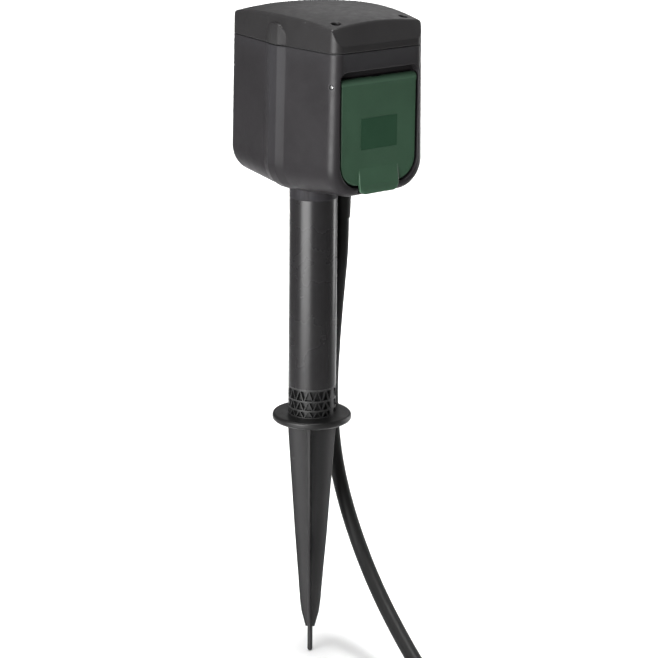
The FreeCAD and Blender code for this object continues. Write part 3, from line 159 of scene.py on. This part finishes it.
def set_skin(tree, shader, colour, roughness, specular=0.5):
    """Feeds a shader its colour and roughness sockets and sets its gloss."""
    tree.links.new(colour, shader.inputs["Base Color"])
    tree.links.new(roughness, shader.inputs["Roughness"])
    shader.inputs["Specular IOR Level"].default_value = specular


def moulded(name, colour, light, rough=0.42, grain=1500.0, depth=0.00006, specular=0.5,
            edge_round=0.0, fade=None):
    """Moulded plastic: fine spark-eroded grain, slight flow shading, paler worn edges and dust.

    A fade holds a start height, an end height, the gloss there and, if wanted, a colour there.
    """
    material, tree, shader, place = new_material(name)
    flow = noise_of(tree, place, scale=28.0, detail=4.0)
    fine = noise_of(tree, place, scale=grain, detail=2.0, rough=0.6)
    smear = noise_of(tree, place, scale=160.0, detail=5.0, rough=0.65)
    edge = add_node(tree, "ShaderNodeNewGeometry").outputs["Pointiness"]
    flow_share = ranged(tree, flow, 0.0, 1.0, start=0.35, end=0.65)
    wear_share = ranged(tree, edge, 0.0, 0.5, start=0.53, end=0.62)
    dust_share = ranged(tree, fine, 0.0, 0.25, start=0.62, end=0.8)
    base = mixed(tree, flow_share, shaded(colour, 0.86), colour)
    worn = mixed(tree, wear_share, base, light)
    dusty = mixed(tree, dust_share, worn, light)
    set_skin(tree, shader, dusty, ranged(tree, smear, rough - 0.05, rough + 0.07), specular)
    if fade is not None:
        dulled(tree, shader, place, specular, **fade)
    bumped(tree, [(fine, depth, 0.35), (smear, depth * 2, 0.08)], shader, edge_round)
    return material


def extruded(name, colour, light, rough, specular):
    """Extruded tube: fine draw lines along Z under a satin skin."""
    material, tree, shader, place = new_material(name)
    along_z = stretched(tree, place, (1.0, 1.0, 0.02))
    lines = noise_of(tree, along_z, scale=1400.0, detail=3.0, rough=0.6)
    flow = noise_of(tree, place, scale=35.0, detail=4.0)
    fine = noise_of(tree, place, scale=2400.0, detail=2.0)
    base = mixed(tree, ranged(tree, flow, 0.0, 1.0), shaded(colour, 0.88), colour)
    lined = mixed(tree, ranged(tree, lines, 0.0, 0.1, start=0.55, end=0.75), base, light)
    set_skin(tree, shader, lined, ranged(tree, flow, rough - 0.02, rough + 0.04), specular)
    bumped(tree, [(lines, 0.00002, 0.08), (fine, 0.00003, 0.2)], shader)
    return material


def rubber(name, colour, light, rough=0.6, specular=0.3):
    """Soft rubber: matte, with a dusty bloom and a slightly uneven skin."""
    material, tree, shader, place = new_material(name)
    skin = noise_of(tree, place, scale=900.0, detail=3.0, rough=0.6)
    bloom = noise_of(tree, place, scale=60.0, detail=5.0, rough=0.6)
    base = mixed(tree, ranged(tree, bloom, 0.0, 0.6), colour, light)
    set_skin(tree, shader, base, ranged(tree, skin, rough - 0.06, rough + 0.08), specular)
    bumped(tree, [(skin, 0.00005, 0.3)], shader)
    return material


def metal(name, colour, dull, rough):
    """Plated or bare metal with a fine uneven sheen and small stains."""
    material, tree, shader, place = new_material(name)
    shader.inputs["Metallic"].default_value = 1.0
    sheen = noise_of(tree, place, scale=600.0, detail=3.0, rough=0.6)
    stain = noise_of(tree, place, scale=220.0, detail=4.0, rough=0.6)
    base = mixed(tree, ranged(tree, stain, 0.0, 0.5, start=0.45, end=0.75), colour, dull)
    set_skin(tree, shader, base, ranged(tree, sheen, rough - 0.08, rough + 0.1))
    bumped(tree, [(sheen, 0.00002, 0.3)], shader)
    return material


def striped(name, first, second):
    """Wire insulation in two colours, striped by length."""
    material, tree, shader, place = new_material(name)
    wave = add_node(tree, "ShaderNodeTexWave", wave_type="BANDS", bands_direction="X")
    wave.inputs["Scale"].default_value = 90.0
    tree.links.new(place, wave.inputs["Vector"])
    fine = noise_of(tree, place, scale=1200.0)
    stripes = ranged(tree, wave.outputs["Fac"], 0.0, 1.0, start=0.48, end=0.52)
    set_skin(tree, shader, mixed(tree, stripes, first, second), ranged(tree, fine, 0.3, 0.42))
    bumped(tree, [(fine, 0.00003, 0.2)], shader)
    return material


# The head's edges are shaded as rounded by so much, and its belly turns matte on the way down.
HEAD_EDGE_ROUND = 0.0014
BELLY_FADE = {"start": 0.176, "end": 0.157, "dull": 0.06}
# The spike's stub above the flange is painted near-black and dull: painted shade behind the
# openings of the collar.
STUB_PAINTED_SHADE = {"start": 0.001, "end": 0.002, "dull": 0.05, "colour": grey(0.003)}

SLOT_MATERIALS = {
    "body_plastic": moulded(
        "moulded anthracite", (0.0215, 0.020, 0.0215), (0.05, 0.05, 0.055), rough=0.42,
        specular=0.25, edge_round=HEAD_EDGE_ROUND, fade=BELLY_FADE),
    "cover_plastic": moulded(
        "moulded anthracite cover", (0.023, 0.022, 0.0226), grey(0.055), rough=0.40,
        specular=0.24, edge_round=HEAD_EDGE_ROUND),
    "tube_plastic": extruded(
        "satin extruded tube", (0.0155, 0.0148, 0.0155), (0.045, 0.045, 0.048), rough=0.26,
        specular=0.38),
    "collar_plastic": moulded(
        "moulded flange", grey(0.009), grey(0.05), rough=0.38, grain=1100.0, specular=0.35),
    "spike_plastic": moulded(
        "moulded spike", (0.026, 0.0255, 0.026), grey(0.05), rough=0.44, grain=900.0,
        depth=0.00005, specular=0.17, edge_round=0.0006, fade=STUB_PAINTED_SHADE),
    "lid_plastic": moulded(
        "moulded green", (0.038, 0.088, 0.051), (0.07, 0.14, 0.09), rough=0.36, grain=1700.0,
        depth=0.00004, specular=0.4, edge_round=0.0007),
    "patch_plastic": moulded(
        "darker green patch", (0.011, 0.041, 0.020), (0.03, 0.08, 0.045), rough=0.42,
        grain=1900.0, depth=0.00003, specular=0.15),
    "insert_plastic": moulded("moulded black", grey(0.016), grey(0.07), rough=0.36),
    "tie_plastic": moulded("black strap", grey(0.018), grey(0.07), rough=0.4),
    "seal_rubber": rubber("seal rubber", grey(0.010), grey(0.03)),
    "cable_rubber": rubber("cable rubber", grey(0.008), grey(0.013), rough=0.48, specular=0.14),
    "plug_rubber": rubber("plug rubber", grey(0.014), grey(0.040), rough=0.52),
    "live_insulation": moulded(
        "brown insulation", (0.13, 0.045, 0.015), (0.22, 0.10, 0.05), rough=0.3),
    "neutral_insulation": moulded(
        "blue insulation", (0.01, 0.07, 0.34), (0.08, 0.2, 0.5), rough=0.3),
    "earth_insulation": striped(
        "green and yellow insulation", (0.02, 0.28, 0.03), (0.75, 0.60, 0.02)),
    "brass": metal("bright brass", (0.78, 0.58, 0.26), (0.45, 0.30, 0.12), rough=0.28),
    "steel": metal("zinc plated steel", (0.74, 0.74, 0.73), grey(0.50), rough=0.5),
    "spring_steel": metal("drawn spring wire", grey(0.50), grey(0.28), rough=0.3),
    "plated_pins": metal(
        "nickel plated brass", (0.72, 0.70, 0.66), (0.50, 0.48, 0.44), rough=0.2),
}


def dress_nodes():
    """Gives each piece of the CAD model the material of its slot."""
    for part in frame["record"]["subparts"]:
        materials = NODES[part["node"]].data.materials
        materials.clear()
        materials.append(SLOT_MATERIALS[part["material_slot"]])


# The lead: one spline from the grommet to the plug. Its first points are the CAD route's.
CABLE_R = 0.00485
EXIT = (0.0223, 0.0, 0.128)
ROUTE = [
    EXIT,
    (0.0223, 0.0, 0.107),
    (0.0232, 0.0044, 0.082),
    (0.0244, 0.0096, 0.048),
    (0.0272, 0.0158, 0.008),
    (0.0305, 0.0155, -0.032),
    (0.0335, 0.0065, -0.067),
    (0.0300, -0.0160, -0.095),
    (0.0240, -0.0430, -0.1155),
    (0.0188, -0.0700, -0.1322),
    (0.0158, -0.0940, -0.147),
    (0.0167, -0.1172, -0.15385),
    (0.0133, -0.1389, -0.15385),
]

# The coil: some turns inwards on the floor, then a layer of turns back out on top of them.
# Between the layers, and again before the plug, the lead climbs over part of a turn.
COIL_CENTRE = (-0.0475, -0.1391)
COIL_START = math.radians(-9.0)
COIL_R = 0.060
COIL_PITCH = 0.0104
TURNS_IN = 2.0
COIL_TURNS = 3.5
CLIMB_TURNS = 0.5
COIL_Z = -0.15385
PLUG_Z = -0.1411
POINTS_PER_TURN = 16
LAST_STRAIGHT = 0.0097


def smooth(share):
    """Eases from 0 to 1 over a share from 0 to 1."""
    t = max(0.0, min(1.0, share))
    return t * t * (3 - 2 * t)


def coil_angle(turn):
    """The angle in the coil after some turns, which run clockwise seen from above."""
    return COIL_START - 2 * math.pi * turn


def coil_radius(turn):
    """The coil's radius after some turns, smaller up to TURNS_IN and larger from there."""
    return COIL_R - COIL_PITCH * min(turn, 2 * TURNS_IN - turn)


def coil_point(turn):
    """A control point of the coil, far enough out for the curve to run at the coil's radius."""
    angle = coil_angle(turn)
    radius = coil_radius(turn) / math.cos(math.pi / POINTS_PER_TURN)
    layer_climb = COIL_PITCH * smooth((turn - TURNS_IN) / CLIMB_TURNS + 0.5)
    plug_climb = (PLUG_Z - COIL_Z - COIL_PITCH) * smooth((turn - COIL_TURNS) / CLIMB_TURNS + 1)
    return (COIL_CENTRE[0] + radius * math.cos(angle), COIL_CENTRE[1] + radius * math.sin(angle),
            COIL_Z + layer_climb + plug_climb)


def cord_points():
    """The route, the turns of the coil and the straight end at the plug."""
    steps = int(COIL_TURNS * POINTS_PER_TURN)
    coil = [coil_point((i + 0.5) / POINTS_PER_TURN) for i in range(steps)]
    cos, sin = math.cos(coil_angle(COIL_TURNS)), math.sin(coil_angle(COIL_TURNS))
    radius = coil_radius(COIL_TURNS)
    plug_start = (COIL_CENTRE[0] + radius * cos + LAST_STRAIGHT * sin,
                  COIL_CENTRE[1] + radius * sin - LAST_STRAIGHT * cos, PLUG_Z)
    return ROUTE + coil + [plug_start]


def make_cord():
    """The lead as one round spline, which stands in for the CAD cable and its coil."""
    data = bpy.data.curves.new("lead", "CURVE")
    data.dimensions = "3D"
    data.resolution_u = 16
    data.bevel_depth = CABLE_R
    data.bevel_resolution = 8
    spline = data.splines.new("NURBS")
    points = cord_points()
    spline.points.add(len(points) - 1)
    for slot, place in zip(spline.points, points):
        slot.co = (*place, 1.0)
    spline.order_u = 3
    spline.use_endpoint_u = True
    lead = bpy.data.objects.new("lead", data)
    bpy.context.scene.collection.objects.link(lead)
    data.materials.append(SLOT_MATERIALS["cable_rubber"])
    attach(lead, "root")
    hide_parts("cable_run", "cable_coil")


# Floor, lights and camera. The view's azimuth, in degrees from +X, is the way the camera looks.
FLOOR_Z = -0.1602
FLOOR_REACH = 14.0
SKY_STRENGTH = 0.16
VIEW_AZIMUTH = 51
CAMERA_PLACE = (-0.855, -1.079, 0.466)
CAMERA_RIGHT = Vector((0.78090078, -0.62457435, 0.01004211))
CAMERA_UP = Vector((0.1695725, 0.22743303, 0.95891573))


def make_floor():
    """A wide pale floor that the coil lies on."""
    corners = [(x * FLOOR_REACH, y * FLOOR_REACH, FLOOR_Z)
               for x, y in ((-1, -1), (1, -1), (1, 1), (-1, 1))]
    data = bpy.data.meshes.new("floor")
    data.from_pydata(corners, [], [(0, 1, 2, 3)])
    floor = bpy.data.objects.new("floor", data)
    bpy.context.scene.collection.objects.link(floor)
    material, tree, shader, place = new_material("pale floor")
    tone = ranged(tree, noise_of(tree, place, scale=3.0, detail=3.0), 0.0, 1.0)
    tree.links.new(mixed(tree, tone, grey(0.86), grey(0.88)), shader.inputs["Base Color"])
    shader.inputs["Roughness"].default_value = 0.8
    data.materials.append(material)


def make_world():
    """A faint white sky, and colours shown without a film look."""
    world = bpy.data.worlds.new("studio")
    world.use_nodes = True
    sky = world.node_tree.nodes["Background"]
    sky.inputs["Color"].default_value = (1.0, 1.0, 1.0, 1.0)
    sky.inputs["Strength"].default_value = SKY_STRENGTH
    bpy.context.scene.world = world
    bpy.context.scene.view_settings.view_transform = "Standard"


def around(azimuth, distance, height):
    """A place about the post, with its azimuth in degrees from +X."""
    angle = math.radians(azimuth)
    return (distance * math.cos(angle), distance * math.sin(angle), height)


def area_light(name, place, target, size, power, turn=0.0, spread=180.0):
    """A rectangular softbox that faces a target, turned about the upright by some degrees."""
    data = bpy.data.lights.new(name, "AREA")
    data.shape = "RECTANGLE"
    data.size, data.size_y = size
    data.energy = power
    data.spread = math.radians(spread)
    light = bpy.data.objects.new(name, data)
    light.location = place
    facing = (Vector(target) - Vector(place)).to_track_quat("-Z", "Y").to_matrix()
    light.rotation_euler = (Matrix.Rotation(math.radians(turn), 3, "Z") @ facing).to_euler()
    bpy.context.scene.collection.objects.link(light)


def make_lights():
    """Softboxes to the left, right and rear, and two narrow beams down to the floor in view.

    The beams are narrow so that the floor beside the part, which the upright walls mirror,
    stays dark. Their long sides are turned to lie along the camera's view.
    """
    middle = (0.0, 0.0, 0.1)
    head_top = (0.0, 0.0, 0.26)
    along_view = VIEW_AZIMUTH - 90
    area_light("key", around(196, 0.75, 0.15), middle, size=(0.64, 0.6), power=4.6, spread=100.0)
    area_light("rim", around(352, 0.8, 0.15), middle, size=(0.2, 0.6), power=0.8, spread=100.0)
    area_light("overhead", around(VIEW_AZIMUTH, 0.42, 0.75), around(VIEW_AZIMUTH, 0.42, 0.0),
               size=(0.7, 1.3), power=4.6, turn=along_view, spread=30.0)
    area_light("backdrop", around(VIEW_AZIMUTH, 2.2, 1.3), around(VIEW_AZIMUTH, 2.2, 0.0),
               size=(1.4, 2.6), power=22.0, turn=along_view, spread=40.0)
    area_light("dome", around(40, 2.2, 1.1), head_top, size=(1.2, 0.6), power=2.4)


def make_camera():
    """The photo's camera, as fitted to the head, the post and the flange."""
    back = CAMERA_RIGHT.cross(CAMERA_UP)
    axes = Matrix((CAMERA_RIGHT, CAMERA_UP, back)).transposed()
    data = bpy.data.cameras.new("camera")
    data.sensor_width = 36.0
    data.lens = 125.3
    data.clip_start = 0.05
    data.clip_end = 60.0
    camera = bpy.data.objects.new("camera", data)
    camera.matrix_world = Matrix.Translation(CAMERA_PLACE) @ axes.to_4x4()
    bpy.context.scene.collection.objects.link(camera)
    bpy.context.scene.camera = camera


dress_nodes()
make_cord()
make_floor()
make_world()
make_lights()
make_camera()
